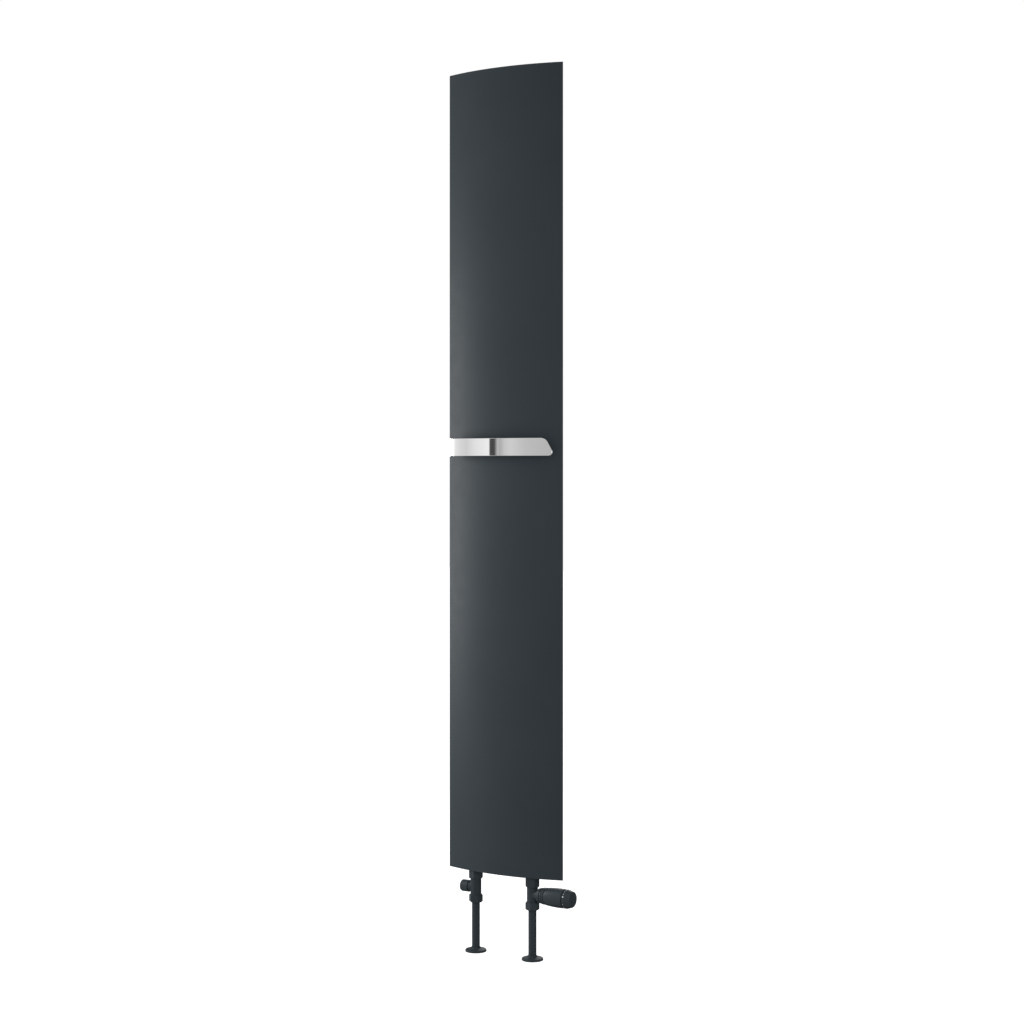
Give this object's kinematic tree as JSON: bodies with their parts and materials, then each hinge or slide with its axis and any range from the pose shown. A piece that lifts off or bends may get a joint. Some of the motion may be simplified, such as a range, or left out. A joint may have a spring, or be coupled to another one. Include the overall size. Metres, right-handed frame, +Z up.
{
  "type": "radiator with valve",
  "caption": "Tall wall-hung radiator with a curved front sheet, a towel bar, a thermostatic valve and a lockshield valve on floor pipes.",
  "frame": {"origin": "centre of the four wall screws, on the surface of the wall, level with the middle of the front sheet", "axes": "+X right along the wall as seen from the room, +Y into the wall, +Z up"},
  "size_m": [0.3267, 0.1075, 1.984],
  "materials": {
    "anthracite_paint": "satin powder coat",
    "polished_bar": "polished",
    "raw_steel": "plain",
    "brass": "machined",
    "sensor_metal": "drawn",
    "anthracite_plastic": "fine moulded satin",
    "pale_plastic": "moulded",
    "dial_white": "printed",
    "seal_rubber": "matt"
  },
  "bodies": {
    "radiator": {"front_panel": "anthracite_paint", "top_header": "anthracite_paint", "bottom_header": "anthracite_paint", "header_end_caps": "anthracite_paint", "bracket_rails": "anthracite_paint", "bracket_spigots": "anthracite_paint", "weld_strips": "anthracite_paint", "connection_bosses": "anthracite_paint", "vent_boss": "anthracite_paint", "water_tube_1": "anthracite_paint", "water_tube_2": "anthracite_paint", "water_tube_3": "anthracite_paint", "water_tube_4": "anthracite_paint", "water_tube_5": "anthracite_paint", "water_tube_6": "anthracite_paint", "wall_bracket_upper_left": "anthracite_paint", "wall_bracket_upper_right": "anthracite_paint", "wall_bracket_lower_left": "anthracite_paint", "wall_bracket_lower_right": "anthracite_paint", "trv_body": "anthracite_paint", "trv_compression_nut": "anthracite_paint", "trv_union_nut": "anthracite_paint", "trv_sleeve": "anthracite_paint", "lock_body": "anthracite_paint", "lock_compression_nut": "anthracite_paint", "lock_union_nut": "anthracite_paint", "lock_sleeve": "anthracite_paint", "towel_bar": "polished_bar", "standoffs": "polished_bar", "flow_divider": "raw_steel", "bracket_lock_screws": "raw_steel", "standoff_washers": "raw_steel", "standoff_screws": "raw_steel", "trv_spring": "raw_steel", "olives": "brass", "trv_union_tail": "brass", "lock_union_tail": "brass", "trv_insert": "brass", "lock_insert": "brass", "vent_plug": "brass", "trv_housing": "anthracite_plastic", "trv_union_ring": "anthracite_plastic", "trv_seal": "seal_rubber", "lock_seal": "seal_rubber", "vent_seal": "seal_rubber"},
    "trv_knob": {"trv_knob": "anthracite_plastic", "trv_dial_marks": "dial_white"},
    "trv_regulator": {"trv_adjuster": "pale_plastic", "trv_sensor": "sensor_metal", "trv_pin": "raw_steel", "trv_disc": "seal_rubber"},
    "lock_spindle": {"lock_spindle": "brass"},
    "lock_disc": {"lock_disc": "brass"},
    "lock_cap": {"lock_cap": "anthracite_plastic"},
    "bleed_screw": {"bleed_screw": "brass"},
    "trv_rosette": {"trv_rosette": "anthracite_paint"},
    "lock_rosette": {"lock_rosette": "anthracite_paint"}
  },
  "joints": [
    {"name": "trv_knob_turn", "type": "hinge", "parent": "radiator", "child": "trv_knob", "pos_m": [0.0717, -0.055, -0.939], "axis": [1, 0, 0], "range_deg": [-150, 150]},
    {"name": "trv_regulator_slide", "type": "slide", "parent": "radiator", "child": "trv_regulator", "axis": [1, 0, 0], "range_m": [-0.0015, 0.0015], "deforming": ["trv_spring"]},
    {"name": "lock_spindle_turn", "type": "hinge", "parent": "radiator", "child": "lock_spindle", "pos_m": [-0.0783, -0.055, -0.939], "axis": [-1, 0, 0], "range_deg": [-360, 360]},
    {"name": "lock_disc_slide", "type": "slide", "parent": "radiator", "child": "lock_disc", "axis": [-1, 0, 0], "range_m": [-0.0015, 0.0015]},
    {"name": "lock_cap_pull", "type": "slide", "parent": "radiator", "child": "lock_cap", "axis": [-1, 0, 0], "range_m": [0, 0.03]},
    {"name": "bleed_screw_turn", "type": "hinge", "parent": "radiator", "child": "bleed_screw", "pos_m": [-0.07901, -0.05556, 0.87], "axis": [0, 0, 1], "range_deg": [0, 360]},
    {"name": "trv_rosette_lift", "type": "slide", "parent": "radiator", "child": "trv_rosette", "axis": [0, 0, 1], "range_m": [0, 0.09]},
    {"name": "lock_rosette_lift", "type": "slide", "parent": "radiator", "child": "lock_rosette", "axis": [0, 0, 1], "range_m": [0, 0.09]}
  ],
  "couplings": [
    {"joint": "trv_regulator_slide", "follows": "trv_knob_turn", "m_per_rad": 0.00057},
    {"joint": "lock_spindle_turn", "follows": "lock_disc_slide", "rad_per_m": 4188.8}
  ]
}
